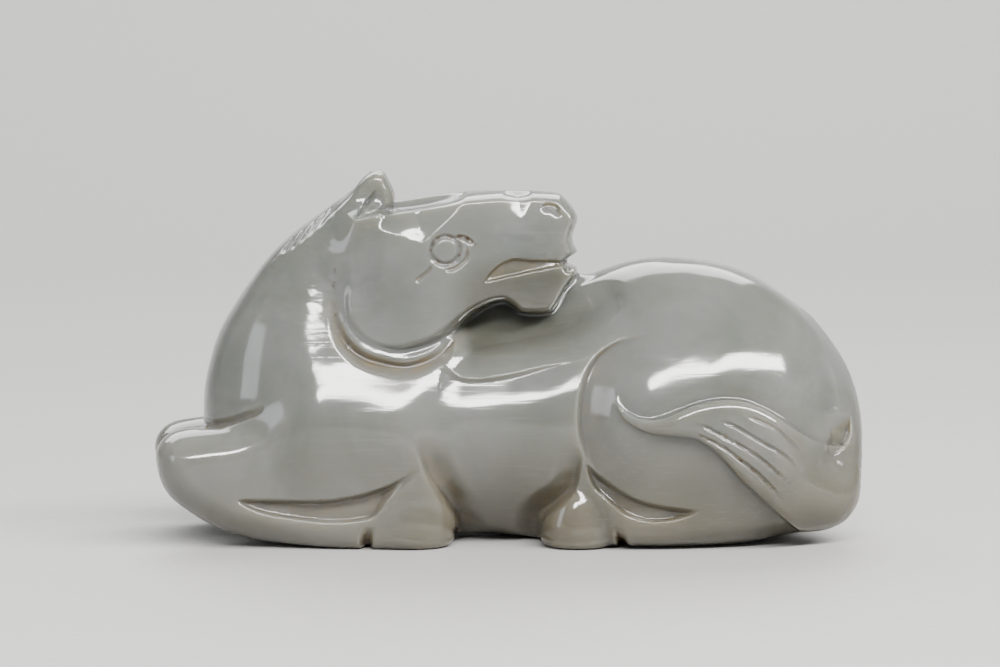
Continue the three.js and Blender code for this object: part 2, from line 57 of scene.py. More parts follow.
# The stone is carved in millimetres, with X along the back, Y across and Z up, as one field of
# signed distance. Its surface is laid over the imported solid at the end

# the big forms: egg shapes by centre and radii, and the haunch and foreleg as rounded slabs
forms = {
    "rump": {"at": (16.8, 0, 10.5), "radii": (17.3, 12.7, 17.1), "tilt": -6},
    "barrel": {"at": (-2, 0, 11.8), "radii": (20, 11.2, 11.8), "tilt": 0},
    "chest": {"at": (-17.5, 0, 12), "radii": (12.4, 10.8, 13), "tilt": 0},
    "haunch": {"middle": 5.6, "half": 7.5, "rim": 9, "footHalf": 6.4, "footRim": 2.6, "foot": (1, 7)},
    "foreleg": {"middle": 7.3, "half": 4.3, "rim": 3.2, "farKneeAhead": 1.4, "farKneeLower": 0.7},
}

# rows of x, y, z and radius along the middle of each, and how wide each is for its height
limbs = {
    "neck": [(-17.5, 0, 12.5, 11), (-18, -0.3, 19, 9.7), (-16.6, -1, 25, 7.9),
             (-13.6, -1.8, 29.6, 4.8)],
    "tail": [(27.6, 0, 19.2, 1.3), (30.1, -0.8, 14, 2.6), (30.75, -3, 9.4, 2.7), (30, -6, 5, 3.3),
             (28, -8.4, 5.4, 3), (26.4, -9, 7.3, 2.6)],
    "foreHoof": [(-7.5, 9, 7.6, 0.7), (-7.8, 8.9, 5.1, 1.8), (-8.6, 8.4, 3.2, 3.3),
                 (-8.95, 8.1, 1.8, 4.1)],
    "hindHoof": [(7.3, 9.4, 7.8, 0.6), (6.9, 9.3, 4.9, 1.35), (6.65, 9, 3.4, 2.6),
                 (6.7, 8.4, 1.5, 3.6)],
}
limbFlat = {"neck": 0.9, "tail": 1, "foreHoof": 0.93, "hindHoof": 0.96}

# half widths across the head, how round its rims are, and from where to where each changes
head = {
    "cheekHalf": 6.8, "muzzleHalf": 3.9, "narrows": (-11, 4), "browTaper": 0.6, "brow": (29.5, 33.5),
    "nape": 1.2, "napeBack": (-11, -16), "napeUp": (21, 26),
    "jawRim": 1.8, "browRim": 1, "jawUp": (24, 31), "muzzleRim": 0.9, "sharpens": (-8, 3),
    "muzzleAcross": -3.6, "pollAcross": -2.9, "bends": (-4, -14), "carvedFrom": (0.5, 2),
}
ear = {"apart": 2.3, "half": 1.5, "rim": 0.8}
plume = {
    "height": 1.1, "tipHeight": 0.25, "rim": 0.9, "rimShare": 0.55, "grows": (9.8, 16),
    "sinks": (24.5, 30.5), "side": (-3, -7),
}
blends = {
    "body": 5, "neck": 4, "haunch": 1.5, "foreleg": 1.2, "chestside": 3, "tail": 2.4, "plume": 0.3,
    "hoof": 0.8, "jaw": 0.4, "poll": 3, "ear": 0.8, "outline": 2.5, "floor": 0.9,
}
carvedSide = (3, 6)  # how far from the middle the cuts in a side begin and reach their depth
chestside = (-24, -17)  # between these the foreleg runs more softly into the body
poll = {"up": (23, 28), "back": (-9, -14)}  # where the head runs softly into the neck
rightJaw = {"across": (-4, -1), "down": (27, 24)}  # and where its far jaw does

# outlines seen from the left side, as x and z, and how far each is softened
outlines = {
    "body": [
        (-29.4, 11), (-28.4, 18.4), (-26, 22.8), (-22, 27.8), (-17.6, 31.2), (-14.2, 32.8),
        (-11.5, 32.4), (-8.5, 29.5), (-6, 25.8), (-2.5, 23.8), (1.5, 23.4), (4.5, 24.6), (8.9, 26.5),
        (13.7, 27.2), (19.2, 26.75), (23.8, 25.2), (28.2, 22.1), (31.4, 18.1), (33.2, 13.8),
        (33.9, 10.5), (33.8, 6.5), (32.2, 3.4), (28, 1), (20, -0.6), (8, -2), (-8, -2), (-20, -1),
        (-27, 3.5),
    ],
    "head": [
        (-14.2, 31.6), (-9.3, 32.5), (-2.6, 33.3), (4.1, 33.2), (5.4, 32.7), (6.65, 31), (6.25, 29.2),
        (6.3, 28.3), (6.7, 27.55), (5.8, 26.85), (5.8, 26.4), (6.65, 26.1), (6.5, 25.2), (5.6, 24.1),
        (4.5, 22.2), (3.6, 21.7), (1.3, 21.7), (0.3, 22.4), (-0.7, 22.7), (-2.8, 21.7), (-5.9, 19.1),
        (-7.8, 18.2), (-10.1, 17.6), (-12.2, 17.8), (-14.1, 18.7), (-15.5, 20.3), (-16.2, 22.2),
        (-16.3, 24.4), (-15.4, 29.6),
    ],
    "foreleg": [
        (-9, 13.5), (-14, 14.5), (-19.5, 14.2), (-23.5, 12.6), (-26, 11.6), (-30.6, 11), (-32.2, 10.35),
        (-33.1, 9.1), (-33.1, 7.6), (-32.5, 5.6), (-30.9, 3.8), (-26.6, 1.3), (-20, -0.4), (-15, -1.4),
        (-9, -1.4), (-6, 3), (-6.5, 9),
    ],
    "haunch": [
        (14.5, 20.6), (11.5, 19.6), (9, 17.8), (7.4, 15.4), (6.6, 12.2), (6.7, 9), (6.9, 6), (7.2, 3.6),
        (8.2, 1.2), (10, -0.6), (15, -0.6), (18.5, 0.1), (22, 0.9), (24.8, 2.1), (27.2, 4.2),
        (30.2, 10), (29.4, 15), (26, 19.6), (20.5, 21.8),
    ],
    "plume": [
        (10.1, 14.6), (10.6, 13.55), (11.4, 12.9), (12.9, 12.5), (14.6, 12.75), (16.1, 13.4),
        (17.9, 14.05), (20.2, 14.35), (22.4, 14.05), (24.8, 12.9), (27.1, 11.3), (29.4, 9.9),
        (31.5, 9.4), (36, 9.4), (36, 5.5), (33.2, 3.2), (30.9, 1.8), (29.2, 1.4), (27.8, 1.5),
        (26.7, 2.2), (22.4, 6.3), (19.5, 9.4), (18.4, 10.2), (17.1, 10.8), (14.4, 11.1), (12.5, 11.5),
        (11.1, 12.3), (10.4, 13.2),
    ],
    "ear": [
        (-15.8, 31.2), (-14.4, 33.6), (-13.7, 34.5), (-13.05, 35.05), (-12.4, 35.2), (-11.8, 35),
        (-11.4, 34.4), (-10.7, 32.6), (-11.5, 31), (-13.5, 30.4),
    ],
}
softened = {"body": 0.5, "head": 0.15, "foreleg": 0.4, "haunch": 0.5, "plume": 0.1, "ear": 0.1}

# cut lines: the path, how deep, how far the cut reaches to the left and to the right of its
# direction, and over what share of its length it fades in and out. Even is how far the sides of
# the cut are straight slopes and not rolled, and stain is the share of old dirt in it
cutsBothSides = [
    # front of the haunch
    {"path": [(14.4, 19.7), (11.6, 19.6), (9.3, 18.5), (7.8, 16.7), (7.1, 14.2), (7, 11.7), (7.6, 9.3),
              (9.2, 6.6)],
     "depth": 1, "left": 3, "right": 0.6, "fade": (0.45, 0.25), "stain": 0.25},
    # belly behind the fore hoof
    {"path": [(-8.6, 11.5), (-6.9, 6.6), (-4.5, 2.6), (-4.3, 0)],
     "depth": 0.9, "left": 2.6, "right": 0.6, "fade": (0.3, 0), "stain": 0.5},
    # belly before the hind hoof
    {"path": [(6.7, 10.3), (5.9, 5.7), (2.9, 2.8), (2.6, 0)],
     "depth": 0.9, "left": 0.6, "right": 2.4, "fade": (0.3, 0), "stain": 0.5},
    # end of the fore shin
    {"path": [(-13, -0.5), (-13.1, 0.8), (-12.8, 2.4)],
     "depth": 1.3, "left": 0.9, "right": 0.6, "fade": (0, 0.6), "stain": 0.9},
    # end of the hind shin
    {"path": [(11, -0.5), (10.6, 0.8), (10.1, 2.3)],
     "depth": 1.1, "left": 0.5, "right": 0.8, "fade": (0, 0.6), "stain": 0.9},
]
cutsLeftSide = [
    # neck behind the jaw
    {"path": [(-16.2, 26.2), (-16.3, 23), (-15.7, 20.1), (-14, 18.2), (-11.7, 17.3), (-9.3, 17),
              (-6.8, 17.8), (-5, 19.4), (-3, 21.2)],
     "depth": 0.9, "left": 0.9, "right": 1, "fade": (0.35, 0.35), "stain": 0.8},
    # top of the flank
    {"path": [(-8, 16.2), (-6.4, 16.8), (-5.5, 16.4), (-4.6, 15.8), (-3.2, 15.6), (-1, 15.8),
              (1.1, 16.2), (3.2, 16.8), (5.2, 17.3), (7.2, 17.8), (8.9, 18.6)],
     "depth": 0.6, "left": 0.7, "right": 2.9, "even": 0.5, "fade": (0.35, 0.5), "stain": 0},
    # scoop at the tail root
    {"path": [(29.5, 9.1), (31, 9), (32.2, 10.2), (32.4, 12.5)],
     "depth": 0.8, "left": 2.7, "right": 0.25, "fade": (0.3, 0.3), "stain": 0},
    # valley beside the tail root
    {"path": [(30.7, 12.4), (30.2, 15.5), (29.1, 18.8)],
     "depth": 0.3, "left": 1.6, "right": 0.9, "fade": (0.1, 0.5), "stain": 0},
    # top of the forearm
    {"path": [(-29.5, 11.2), (-27, 11.4), (-24.8, 12.1), (-23.2, 12.9), (-22.8, 13.9)],
     "depth": 0.4, "left": 0.8, "right": 0.2, "fade": (0.1, 0.4), "stain": 0.4},
    # upper edge of the tail
    {"path": [(13, 12.6), (16.1, 13.5), (17.9, 14.1), (20.2, 14.4), (22.4, 14.1), (24.8, 12.95),
              (28, 10.7)],
     "depth": 0.25, "left": 1.8, "right": 0.3, "fade": (0.15, 0.25), "stain": 0.15},
]
tailHair = {
    "depth": 0.18, "half": 0.24, "fade": (0.2, 0.2),
    "lines": [
        {"path": [(17.1, 11.5), (19.7, 10.2), (21.8, 8.7), (23.5, 7.3), (25.6, 5)], "stain": 1},
        {"path": [(17.4, 12.4), (19.9, 11.1), (23, 9.3), (26.2, 6.6)], "stain": 0.75},
        {"path": [(19.5, 12.6), (21.1, 12), (23.4, 10.6), (25.7, 9.2), (27.1, 7.8)], "stain": 0.5},
        {"path": [(21.6, 13.2), (24.4, 12), (25.7, 11), (28.1, 8.7)], "stain": 0.25},
        {"path": [(29.4, 9.4), (29.2, 8.7), (28.9, 7.8)], "stain": 0.1},
        {"path": [(30.3, 8.2), (30.1, 7.2), (29.6, 5.9), (29.2, 5)], "stain": 0.1},
    ],
}

# hollows between two lines, with a rolled wall at the upper one and a crisp one at the lower,
# whose width goes from the first value to the second along it. With a power the lower wall rises
# like a bowl, until is where the hollow runs out along X, and darkTo where its shade does
legHollows = [
    {"upper": [(-25.6, 5), (-18.4, 4.85), (-15.2, 5.15), (-12, 6), (-9.9, 7), (-8.2, 8.15),
               (-7.7, 9.5)],
     "lower": [(-25.6, 5), (-24.9, 4.3), (-22.7, 3.4), (-19.5, 2.85), (-16.3, 2.6), (-13.1, 2.9),
               (-11.5, 3.9), (-9.5, 6), (-8.1, 7.3), (-7.7, 9.5)],
     "depth": 1.2, "wall": 0.6, "lowWall": (0.25, 1.4), "stain": 0.5},
    {"upper": [(6.9, 9.2), (8.6, 7.3), (10.5, 5.9), (12.3, 5.05), (14.2, 4.55), (16.1, 4.25),
               (18.6, 4)],
     "lower": [(6.9, 9.2), (7.8, 6.2), (9, 4.9), (10.9, 3.45), (12.8, 2.8), (14.2, 2.75), (16.1, 3.05),
               (18.6, 4)],
     "depth": 1.1, "wall": 0.7, "lowWall": (0.3, 0.25), "stain": 0.35},
]
backHollow = {
    "upper": [(-6.1, 18.4), (-6.6, 22), (-5, 27), (2, 28.5), (10, 27), (14.5, 23)],
    "lower": [(-6.1, 18.4), (-5.9, 17.1), (-5.2, 16.2), (-3.2, 15.7), (1.1, 16.3), (5.2, 17.2),
              (7.2, 17.9), (10.5, 19.5), (13.6, 20.4), (14.5, 23)],
    "depth": 1.6, "wall": 3.5, "lowWall": (3, 3), "power": 0.8, "until": (6, 15), "darkTo": (3, 13),
}
mouth = {
    "upper": [(-2.45, 24.8), (-1.65, 25.95), (-0.5, 26.85), (0.65, 27.2), (1.95, 27.1), (5.7, 26.95),
              (7.2, 26.9)],
    "lower": [(-2.45, 24.8), (1.95, 25.75), (5.75, 26.45), (7.2, 26.6)],
    "depth": 0.6, "wall": 0.3, "lowWall": (0.2, 0.2), "stain": 0.6,
}
temple = {
    "upper": [(-12.6, 30), (-12.2, 31.6), (-10.5, 34.8), (-3, 34.8)],
    "lower": [(-12.6, 30), (-10.3, 29.5), (-8.6, 28.9), (-7.7, 28.9), (-6.2, 30.3), (-4.4, 32.2),
              (-3, 34.8)],
    "depth": 1.45, "wall": 1, "lowWall": (2.4, 2.1), "power": 0.8,
}
noseSide = {
    "upper": [(-0.7, 33), (-0.5, 35), (2.4, 35), (2.5, 33)],
    "lower": [(-0.7, 33), (0.2, 31.7), (1.2, 30.8), (1.8, 31.5), (2.5, 33)],
    "depth": 0.75, "wall": 0.5, "lowWall": (1.6, 1.6), "power": 1,
}
faceCuts = [
    # nostril
    {"path": [(3, 31.6), (3.7, 32.1), (4.5, 31.9), (5.1, 31)],
     "depth": 0.45, "left": 0.35, "right": 0.9, "fade": (0.3, 0.3), "stain": 0},
    # inner corner of the eye
    {"path": [(-4.9, 29.3), (-4, 29.2), (-3, 28.5)],
     "depth": 0.4, "left": 0.25, "right": 0.5, "fade": (0.15, 0.3), "stain": 1},
    # outer corner of the eye
    {"path": [(-6.9, 26.7), (-7.5, 26), (-8.4, 25.3)],
     "depth": 0.25, "left": 0.3, "right": 0.3, "fade": (0.3, 0), "stain": 0.9},
    # lower lid
    {"path": [(-3.7, 28.4), (-3.9, 27.2), (-5, 26.3), (-6, 26.2)],
     "depth": 0.28, "left": 0.3, "right": 0.3, "fade": (0.2, 0.2), "stain": 0.7},
    # hollow before the eye
    {"path": [(-2.6, 29.3), (0.4, 29.4), (3, 28.9)],
     "depth": 0.3, "left": 2, "right": 2, "fade": (0.4, 0.4), "stain": 0},
]
faceDirt = 0.5  # the face's cuts hold less dirt than the body's
eye = {"at": (-5.8, 28), "radii": (1.35, 1.3), "ring": 0.28, "depth": 0.32}
earCuts = [
    {"path": [(-12.3, 33.6), (-13.3, 32.3), (-14.3, 30.9)],
     "depth": 0.3, "left": 0.45, "right": 0.2, "fade": (0.2, 0.1)},
    {"path": [(-14.3, 30.9), (-12.8, 31.3), (-10.9, 32)],
     "depth": 0.25, "left": 0.4, "right": 0.2, "fade": (0.1, 0.3)},
]
mane = {
    "depth": 0.16, "half": 0.22, "fade": (0.3, 0.3), "across": (-1, 1.5),
    "strokes": [
        [(-21.3, 27.4), (-20, 29.1)], [(-20.5, 27.7), (-19.1, 29.8)], [(-19.7, 28.3), (-18, 30.7)],
        [(-18.9, 29), (-16.9, 31.6)], [(-18, 29.8), (-16.3, 32)],
    ],
}

# waves left by hand polishing: height, how far apart they are and how many there are
handWork = [
    {"height": 0.035, "lengths": (6, 14), "waves": 9},
    {"height": 0.008, "lengths": (1.8, 4.5), "waves": 14},
]
handSeed = 5
farAway = 1e9
almostNone = 1e-9


# two fields joined with their seam rounded over k, and below it what two fields share
def mix(a, b, k):
    overlap = np.maximum(k - np.abs(a - b), 0)
    return np.minimum(a, b) - overlap * overlap / (4 * k)


def keep(a, b, k):
    return -mix(-a, -b, k)


def between(a, b, share):
    return a + (b - a) * share


# a smooth step from 0 at low to 1 at high
def ramp(v, low, high):
    t = np.clip((v - low) / (high - low), 0, 1)
    return t * t * (3 - 2 * t)


# a smooth curve through the points, as rows
def curve(points, closed=False, each=10):
    p = np.array(points, float)
    count = len(p)
    rows = []
    for i in range(count if closed else count - 1):
        b = p[i]
        c = p[(i + 1) % count]
        a = p[i - 1] if closed or i else 2 * b - c
        d = p[(i + 2) % count] if closed or i + 2 < count else 2 * c - b
        for t in np.arange(each) / each:
            rows.append(0.5 * (2 * b + (c - a) * t + (2 * a - 5 * b + 4 * c - d) * t ** 2
                               + (3 * b - a - 3 * c + d) * t ** 3))
    rows.append(p[0] if closed else p[-1])
    return np.array(rows)


# how far each point is from a line, on which side, and how far along it
def trace(line, x, z):
    square = np.full(x.shape, farAway, np.float32)
    side = np.zeros(x.shape, np.float32)
    along = np.zeros(x.shape, np.float32)
    for i in range(len(line) - 1):
        (ax, az), (dx, dz) = line[i], line[i + 1] - line[i]
        t = np.clip(((x - ax) * dx + (z - az) * dz) / (dx * dx + dz * dz), 0, 1)
        ex = x - ax - t * dx
        ez = z - az - t * dz
        away = ex * ex + ez * ez
        nearer = away < square
        square = np.where(nearer, away, square)
        side = np.where(nearer, dx * ez - dz * ex, side)
        along = np.where(nearer, (i + t) / (len(line) - 1), along)
    return np.sqrt(square), side, along


# which points are within a closed line
def inside(loop, x, z):
    hit = np.zeros(x.shape, bool)
    for (ax, az), (bx, bz) in zip(loop[:-1], loop[1:]):
        if az != bz:
            hit ^= ((az > z) != (bz > z)) & (x < (bx - ax) * (z - az) / (bz - az) + ax)
    return hit


# drawings in the side view are worked out once on a fine grid and read back between its points,
# and edge keeps the reading inside the last cell
sheet = {"low": (-38, -3), "high": (39, 38), "step": 0.1, "edge": 1.01}
sheetX = np.arange(sheet["low"][0], sheet["high"][0], sheet["step"], dtype=np.float32)
sheetZ = np.arange(sheet["low"][1], sheet["high"][1], sheet["step"], dtype=np.float32)


# a function of x and z drawn only in the window around some points
def draw(points, margin, blank, value):
    grid = np.full((len(sheetX), len(sheetZ)), blank, np.float32)
    low = np.min(points, 0) - margin
    high = np.max(points, 0) + margin
    i = np.searchsorted(sheetX, (low[0], high[0]))
    j = np.searchsorted(sheetZ, (low[1], high[1]))
    x, z = np.meshgrid(sheetX[i[0]:i[1]], sheetZ[j[0]:j[1]], indexing="ij")
    grid[i[0]:i[1], j[0]:j[1]] = value(x, z)
    return grid


# a drawing averaged over a reach, twice each way
def soften(grid, reach):
    width = int(round(reach / sheet["step"]))
    for axis in (0, 1):
        for _ in range(2):
            padded = np.concatenate([np.repeat(np.take(grid, [0], axis), width, axis), grid,
                                     np.repeat(np.take(grid, [-1], axis), width, axis)], axis)
            across = grid.shape[axis]
            total = sum(np.take(padded, range(k, k + across), axis) for k in range(2 * width + 1))
            grid = total / (2 * width + 1)
    return grid


# how far each point is outside an outline, below nought inside it
def drawOutline(name):
    loop = curve(outlines[name], closed=True)
    margin = 4
    edge = draw(loop, margin, margin,
                lambda x, z: trace(loop, x, z)[0] * np.where(inside(loop, x, z), -1, 1))
    return soften(edge, softened[name])


def drawCut(cut):
    line = curve(cut["path"])

    def value(x, z):
        away, side, along = trace(line, x, z)
        share = np.clip(1 - away / np.where(side > 0, cut["left"], cut["right"]), 0, 1)
        share = between(share, ramp(share, 0, 1), 1 - cut.get("even", 0))
        start = ramp(along, 0, cut["fade"][0]) if cut["fade"][0] else 1
        end = ramp(1 - along, 0, cut["fade"][1]) if cut["fade"][1] else 1
        return cut["depth"] * share * start * end

    return draw(line, max(cut["left"], cut["right"]), 0, value)


def drawHollow(hollow):
    top = curve(hollow["upper"])
    bottom = curve(hollow["lower"])
    loop = np.vstack([top, bottom[::-1], top[:1]])
    steepest = 0.75  # the most depth for each millimetre of the hollow's width
    lowestShare = 0.55  # the share of the depth that it has at the lower line
    widens = (0.55, 0.75)  # where along it the lower wall goes from its first width to its second
    margin = 0.5
    least = 1e-6
    firstWall, lastWall = hollow["lowWall"]

    def value(x, z):
        up = trace(top, x, z)[0]
        down, _, along = trace(bottom, x, z)
        lowWall = between(firstWall, lastWall, ramp(along, *widens))
        floor = np.minimum(hollow["depth"], steepest * (up + down))
        floor = floor * (lowestShare + (1 - lowestShare) * down / (up + down + least))
        rise = ramp(down, 0, lowWall)
        if "power" in hollow:
            rise = np.clip(down / lowWall, 0, 1) ** hollow["power"]
        if "until" in hollow:
            rise = rise * (1 - ramp(x, *hollow["until"]))
        return np.where(inside(loop, x, z), floor * ramp(up, 0, hollow["wall"]) * rise, 0)

    return draw(loop, margin, 0, value)


# a stained line along a path, strongest at the line itself
def drawStain(path, strength, half=0.35):
    line = curve(path)
    return draw(line, half, 0, lambda x, z: strength * ramp(1 - trace(line, x, z)[0] / half, 0, 1))


# the groove round the eye
def drawEye():
    def value(x, z):
        out = np.hypot((x - eye["at"][0]) / eye["radii"][0], (z - eye["at"][1]) / eye["radii"][1])
        return eye["depth"] * np.clip(1 - np.abs(out - 1) / eye["ring"], 0, 1)

    return draw([eye["at"]], 2 * max(eye["radii"]), 0, value)


# at each place the deepest of some drawings
def deepest(grids):
    return np.maximum.reduce(list(grids))


# one hair of the tail or the mane
def drawHair(path, kind):
    return drawCut({"path": path, "depth": kind["depth"], "left": kind["half"], "right": kind["half"],
                    "fade": kind["fade"]})


# the dirt in a cut or a hollow, most where it is deepest
def dirtyCut(cut):
    return cut["stain"] * drawCut(cut) / cut["depth"]


def dirtyHollow(hollow):
    return hollow["stain"] * drawHollow(hollow) / hollow["depth"]


drawings = {name: drawOutline(name) for name in outlines}
bothCuts = deepest([drawCut(c) for c in cutsBothSides] + [drawHollow(h) for h in legHollows])
drawings["nearCuts"] = deepest([bothCuts, drawHollow(backHollow)] + [drawCut(c) for c in cutsLeftSide])
drawings["farCuts"] = bothCuts
drawings["hair"] = deepest(drawHair(line["path"], tailHair) for line in tailHair["lines"])
drawings["face"] = deepest([drawHollow(h) for h in (mouth, temple, noseSide)] + [drawEye()]
                           + [drawCut(c) for c in faceCuts])
drawings["earCuts"] = deepest(drawCut(c) for c in earCuts)
drawings["mane"] = deepest(drawHair(path, mane) for path in mane["strokes"])
drawings["softStain"] = deepest([dirtyCut(c) for c in cutsBothSides + cutsLeftSide]
                                + [dirtyHollow(h) for h in legHollows]
                                + [faceDirt * dirtyCut(c) for c in faceCuts])
drawings["mouthStain"] = dirtyHollow(mouth)
drawings["shade"] = drawHollow(backHollow) / backHollow["depth"]
drawings["bothStain"] = deepest(dirtyCut(c) for c in cutsBothSides)
drawings["tailStain"] = deepest(drawStain(line["path"], line["stain"]) for line in tailHair["lines"])
drawings["lineStain"] = deepest(
    [drawStain(h["upper"], h["stain"]) for h in legHollows + [mouth]]
    + [drawStain(c["path"], c["stain"]) for c in cutsBothSides + faceCuts if c["stain"]]
    + [drawEye() / eye["depth"]])
drawings["leftStain"] = deepest(drawStain(c["path"], c["stain"]) for c in cutsLeftSide if c["stain"])
channel = {name: i for i, name in enumerate(drawings)}
stack = np.stack(list(drawings.values()), -1)
print("drawings:", len(drawings), "of", stack.shape[:2])


# the drawings' values at the points, side by side, or one drawing's by name
def read(x, z, name=None):
    u = np.clip((x - sheet["low"][0]) / sheet["step"], 0, len(sheetX) - sheet["edge"])
    v = np.clip((z - sheet["low"][1]) / sheet["step"], 0, len(sheetZ) - sheet["edge"])
    i = u.astype(np.int32)
    j = v.astype(np.int32)
    s = (u - i)[:, None]
    t = (v - j)[:, None]
    grid = stack if name is None else stack[:, :, channel[name], None]
    low = grid[i, j] * (1 - t) + grid[i, j + 1] * t
    high = grid[i + 1, j] * (1 - t) + grid[i + 1, j + 1] * t
    return low * (1 - s) + high * s


# every drawing by its name
def readAll(x, z):
    sides = read(x, z)
    return {name: sides[:, i] for name, i in channel.items()}


# how far each point is from an egg shape, near enough
def egg(form, x, y, z):
    c = math.cos(math.radians(form["tilt"]))
    s = math.sin(math.radians(form["tilt"]))
    dx = (x - form["at"][0]) * c + (z - form["at"][2]) * s
    dy = y - form["at"][1]
    dz = (z - form["at"][2]) * c - (x - form["at"][0]) * s
    rx, ry, rz = form["radii"]
    k0 = np.sqrt((dx / rx) ** 2 + (dy / ry) ** 2 + (dz / rz) ** 2)
    k1 = np.sqrt((dx / rx ** 2) ** 2 + (dy / ry ** 2) ** 2 + (dz / rz ** 2) ** 2)
    return k0 * (k0 - 1) / np.maximum(k1, almostNone)


# a slab with the given outline, its rim rounded off over the width rim
def pillow(edge, across, half, rim):
    u = np.maximum(edge + rim, 0) / rim
    v = across / half
    k0 = np.sqrt(u * u + v * v)
    k1 = np.sqrt((u / rim) ** 2 + (v / half) ** 2)
    return k0 * (k0 - 1) / np.maximum(k1, almostNone)


limbRows = {name: curve(path, each=6) for name, path in limbs.items()}


# a chain of cones with round ends
def limb(name, x, y, z):
    rows = limbRows[name]
    best = np.full(x.shape, farAway, np.float32)
    for a, b in zip(rows[:-1], rows[1:]):
        d = (b - a)[:3]
        t = np.clip(((x - a[0]) * d[0] + (y - a[1]) * d[1] + (z - a[2]) * d[2]) / (d @ d), 0, 1)
        ex = x - a[0] - t * d[0]
        ey = (y - a[1] - t * d[1]) / limbFlat[name]
        ez = z - a[2] - t * d[2]
        best = np.minimum(best, np.sqrt(ex * ex + ey * ey + ez * ez) - a[3] - t * (b[3] - a[3]))
    return best


# each wave's direction with its length in it, where it starts and how high it is
def rollWaves():
    random = np.random.default_rng(handSeed)
    rows = []
    for work in handWork:
        for _ in range(work["waves"]):
            direction = random.normal(size=3)
            direction *= 2 * math.pi / random.uniform(*work["lengths"]) / np.linalg.norm(direction)
            start = random.uniform(0, 2 * math.pi)
            rows.append((*direction, start, work["height"] / math.sqrt(work["waves"])))
    return rows


waveRows = rollWaves()


def handWaves(x, y, z):
    return sum(height * np.sin(x * a + y * b + z * c + start) for a, b, c, start, height in waveRows)


# the body with its neck, haunches, legs, hooves and tail, before any cut
def torso(x, y, z, at):
    across = np.abs(y)
    back = mix(egg(forms["rump"], x, y, z), egg(forms["barrel"], x, y, z), blends["body"])
    trunk = mix(back, egg(forms["chest"], x, y, z), blends["body"])
    necked = mix(trunk, limb("neck", x, y, z), blends["neck"])
    size = forms["haunch"]
    above = ramp(z, *size["foot"])
    half = between(size["footHalf"], size["half"], above)
    rim = between(size["footRim"], size["rim"], above)
    hind = pillow(at["haunch"], across - size["middle"], half, rim)
    trimmed = keep(mix(necked, hind, blends["haunch"]), at["body"], blends["outline"])
    size = forms["foreleg"]
    far = y > 0
    edge = read(x + size["farKneeAhead"] * far, z + size["farKneeLower"] * far, "foreleg")[:, 0]
    fore = pillow(edge, across - size["middle"], size["half"], size["rim"])
    soft = blends["foreleg"] + blends["chestside"] * ramp(x, *chestside)
    hooves = np.minimum(limb("foreHoof", x, across, z), limb("hindHoof", x, across, z))
    legged = mix(trimmed, fore, soft)
    return mix(mix(legged, limb("tail", x, y, z), blends["tail"]), hooves, blends["hoof"])


# the haired end of the tail lies over the haunch and stands proud of it, round at its edges, and
# only on the left side
def plumeOver(body, x, y, z, at):
    rounding = np.sqrt(1 - (1 - np.clip(-at["plume"] / plume["rim"], 0, 1)) ** 2)
    crown = between(plume["rimShare"], 1, rounding)
    grown = plume["tipHeight"] + plume["height"] * ramp(x, *plume["grows"])
    rise = grown * (1 - ramp(x, *plume["sinks"])) * ramp(y, *plume["side"])
    offSide = ramp(y, *plume["side"][::-1])
    return np.maximum(body - rise * (crown - at["hair"]), at["plume"]) + offSide


# the head and the ears, and how far each point is across the head
def headForms(x, y, z, at):
    turn = ramp(x, *head["bends"])
    across = np.abs(y - head["muzzleAcross"] - (head["pollAcross"] - head["muzzleAcross"]) * turn)
    wide = between(head["cheekHalf"], head["muzzleHalf"], ramp(x, *head["narrows"]))
    half = wide - head["browTaper"] * ramp(z, *head["brow"])
    half = half - head["nape"] * ramp(x, *head["napeBack"]) * ramp(z, *head["napeUp"])
    rim = between(head["jawRim"], head["browRim"], ramp(z, *head["jawUp"]))
    rim = between(rim, head["muzzleRim"], ramp(x, *head["sharpens"]))
    skull = pillow(at["head"], across, half, rim) + at["face"] * ramp(across, *head["carvedFrom"])
    ears = pillow(at["ear"], across - ear["apart"], ear["half"], ear["rim"])
    return skull, ears, across


# the whole carving, cut off flat at the floor
def stoneField(x, y, z):
    at = readAll(x, z)
    body = torso(x, y, z, at)
    near = at["nearCuts"] * ramp(-y, *carvedSide)
    far = at["farCuts"] * ramp(y, *carvedSide)
    crest = at["mane"] * ramp(-y, *mane["across"])
    carved = mix(body + near + far + crest, plumeOver(body, x, y, z, at), blends["plume"])
    skull, ears, across = headForms(x, y, z, at)
    atPoll = ramp(z, *poll["up"]) * ramp(x, *poll["back"])
    atRightJaw = ramp(y, *rightJaw["across"]) * ramp(z, *rightJaw["down"])
    joined = mix(carved, skull, blends["jaw"] + blends["poll"] * (atPoll + atRightJaw))
    eared = mix(joined, ears, blends["ear"]) + at["earCuts"] * (across > ear["apart"])
    return keep(eared + handWaves(x, y, z), -z, blends["floor"])


# the field at many points, a part of them at a time
def stone(points, atOnce=60000):
    points = np.asarray(points, np.float32)
    parts = [points[i:i + atOnce] for i in range(0, len(points), atOnce)]
    return np.concatenate([stoneField(p[:, 0], p[:, 1], p[:, 2]) for p in parts]).astype(np.float32)


# how fast the field rises along each axis
def slope(points, reach=0.04):
    out = np.empty((len(points), 3), np.float32)
    for axis in range(3):
        shift = np.zeros(3, np.float32)
        shift[axis] = reach
        out[:, axis] = (stone(points + shift) - stone(points - shift)) / (2 * reach)
    return out


# the box that holds the stone, how finely it is sampled, how many cells from the surface the field
# is exact, and how many triangles are left
room = {"low": (-36, -15.5, -0.8), "size": (71.7, 31, 37.2)}
fineness = {"step": 0.16, "halvings": 2, "nearCells": 2.6, "triangles": 188000}


